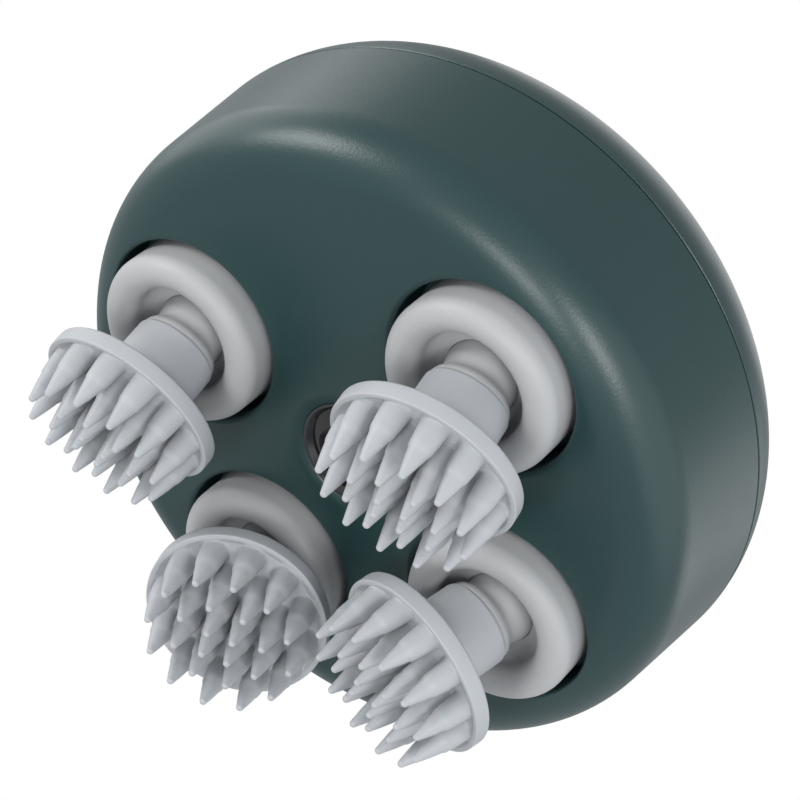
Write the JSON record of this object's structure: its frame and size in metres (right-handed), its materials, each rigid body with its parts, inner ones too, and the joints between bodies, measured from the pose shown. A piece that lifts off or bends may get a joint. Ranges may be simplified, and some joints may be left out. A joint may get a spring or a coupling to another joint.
{
  "type": "electric scalp massager",
  "caption": "Palm-sized domed electric massager with wobbling disc heads of blunt spikes under a round housing, driven by a worm and cranks.",
  "frame": {"origin": "on the housing's axis, at the height of the lowest spike tip", "axes": "+Z from the spikes up to the dome and power button, the housing's axis; +X and +Y lie in the plane of the seam, and the charging socket faces the direction 173.5 degrees from +X towards +Y"},
  "size_m": [0.104, 0.104, 0.0764],
  "materials": {
    "shell_plastic": "satin moulded plastic with a fine texture, dark grey-green",
    "silicone": "smooth warm light grey silicone",
    "head_plastic": "satin light grey moulded plastic",
    "seal_rubber": "soft dark silicone",
    "ring_plastic": "glossy mid grey",
    "window_plastic": "polished smoked plastic, nearly black",
    "board": "green solder mask",
    "lamp": "red diffuse lamp",
    "post_plastic": "satin grey acetal",
    "gear_plastic": "off-white acetal",
    "bush_metal": "sintered bronze",
    "frame_plastic": "black glass-filled plastic",
    "screw_steel": "zinc plated",
    "shaft_steel": "ground steel",
    "plated_steel": "nickel plated sheet steel",
    "cell_sleeve": "shrink sleeve, blue",
    "plunger_plastic": "beige plastic"
  },
  "bodies": {
    "housing": {"lower_shell": "shell_plastic", "upper_shell": "shell_plastic", "boot_ring_1": "silicone", "boot_ring_2": "silicone", "boot_ring_3": "silicone", "boot_ring_4": "silicone", "shell_gasket": "seal_rubber", "window_bezel": "ring_plastic", "window_lens": "window_plastic", "lamp_board": "board", "circuit_board": "board", "charge_board": "board", "status_lamp": "lamp", "motor_end_cap": "gear_plastic", "crank_bush_1": "bush_metal", "crank_bush_2": "bush_metal", "crank_bush_3": "bush_metal", "crank_bush_4": "bush_metal", "gearbox_base": "frame_plastic", "gearbox_cover": "frame_plastic", "switch_body": "frame_plastic", "base_screws": "screw_steel", "cover_screws": "screw_steel", "strap_screws": "screw_steel", "board_screws": "screw_steel", "motor_can": "plated_steel", "motor_strap": "plated_steel", "battery_contacts": "plated_steel", "charge_socket": "plated_steel", "battery_cell": "cell_sleeve"},
    "button": {"power_button": "shell_plastic", "switch_plunger": "plunger_plastic"},
    "sun": {"sun_gear": "gear_plastic", "sun_shaft": "shaft_steel", "worm_wheel": "gear_plastic"},
    "worm": {"worm": "shaft_steel", "motor_shaft": "shaft_steel"},
    "charge_plug": {"charge_plug": "seal_rubber"},
    "crank_1": {"crank_gear_1": "gear_plastic"},
    "head_1": {"massage_post_1": "post_plastic", "massage_head_1": "head_plastic"},
    "crank_2": {"crank_gear_2": "gear_plastic"},
    "head_2": {"massage_post_2": "post_plastic", "massage_head_2": "head_plastic"},
    "crank_3": {"crank_gear_3": "gear_plastic"},
    "head_3": {"massage_post_3": "post_plastic", "massage_head_3": "head_plastic"},
    "crank_4": {"crank_gear_4": "gear_plastic"},
    "head_4": {"massage_post_4": "post_plastic", "massage_head_4": "head_plastic"}
  },
  "joints": [
    {"name": "button_press", "type": "slide", "parent": "housing", "child": "button", "axis": [0, 0, -1], "range_m": [0, 0.0005], "stiffness_N_per_m": 2500},
    {"name": "sun_spin", "type": "hinge", "parent": "housing", "child": "sun", "pos_m": [0, 0, 0.04091], "axis": [0, 0, 1], "continuous": true},
    {"name": "worm_spin", "type": "hinge", "parent": "housing", "child": "worm", "pos_m": [0, -0.013, 0.05451], "axis": [1, 0, 0], "continuous": true},
    {"name": "crank_spin_1", "type": "hinge", "parent": "housing", "child": "crank_1", "pos_m": [-0.02516, -0.01634, 0.04091], "axis": [0, 0, 1], "continuous": true},
    {"name": "head_turn_1", "type": "hinge", "parent": "crank_1", "child": "head_1", "pos_m": [-0.02516, -0.01634, 0.02711], "axis": [0.1006, -0.3096, 0.9455], "continuous": true},
    {"name": "crank_spin_2", "type": "hinge", "parent": "housing", "child": "crank_2", "pos_m": [0.02516, -0.01634, 0.04091], "axis": [0, 0, 1], "continuous": true},
    {"name": "head_turn_2", "type": "hinge", "parent": "crank_2", "child": "head_2", "pos_m": [0.02516, -0.01634, 0.02711], "axis": [0.0397, -0.3231, 0.9455], "continuous": true},
    {"name": "crank_spin_3", "type": "hinge", "parent": "housing", "child": "crank_3", "pos_m": [-0.02084, 0.02158, 0.04091], "axis": [0, 0, 1], "continuous": true},
    {"name": "head_turn_3", "type": "hinge", "parent": "crank_3", "child": "head_3", "pos_m": [-0.02084, 0.02158, 0.02711], "axis": [-0.3256, 0, 0.9455], "continuous": true},
    {"name": "crank_spin_4", "type": "hinge", "parent": "housing", "child": "crank_4", "pos_m": [0.02084, 0.02158, 0.04091], "axis": [0, 0, 1], "continuous": true},
    {"name": "head_turn_4", "type": "hinge", "parent": "crank_4", "child": "head_4", "pos_m": [0.02084, 0.02158, 0.02711], "axis": [0.3152, -0.0815, 0.9455], "continuous": true},
    {"name": "plug_pull", "type": "slide", "parent": "housing", "child": "charge_plug", "axis": [-0.9936, 0.1132, 0], "range_m": [0, 0.006]}
  ],
  "couplings": [
    {"joint": "worm_spin", "follows": "sun_spin", "ratio": -24},
    {"joint": "crank_spin_1", "follows": "sun_spin", "ratio": -1},
    {"joint": "head_turn_1", "follows": "sun_spin", "ratio": 1},
    {"joint": "crank_spin_2", "follows": "sun_spin", "ratio": -1},
    {"joint": "head_turn_2", "follows": "sun_spin", "ratio": 1},
    {"joint": "crank_spin_3", "follows": "sun_spin", "ratio": -1},
    {"joint": "head_turn_3", "follows": "sun_spin", "ratio": 1},
    {"joint": "crank_spin_4", "follows": "sun_spin", "ratio": -1},
    {"joint": "head_turn_4", "follows": "sun_spin", "ratio": 1}
  ]
}
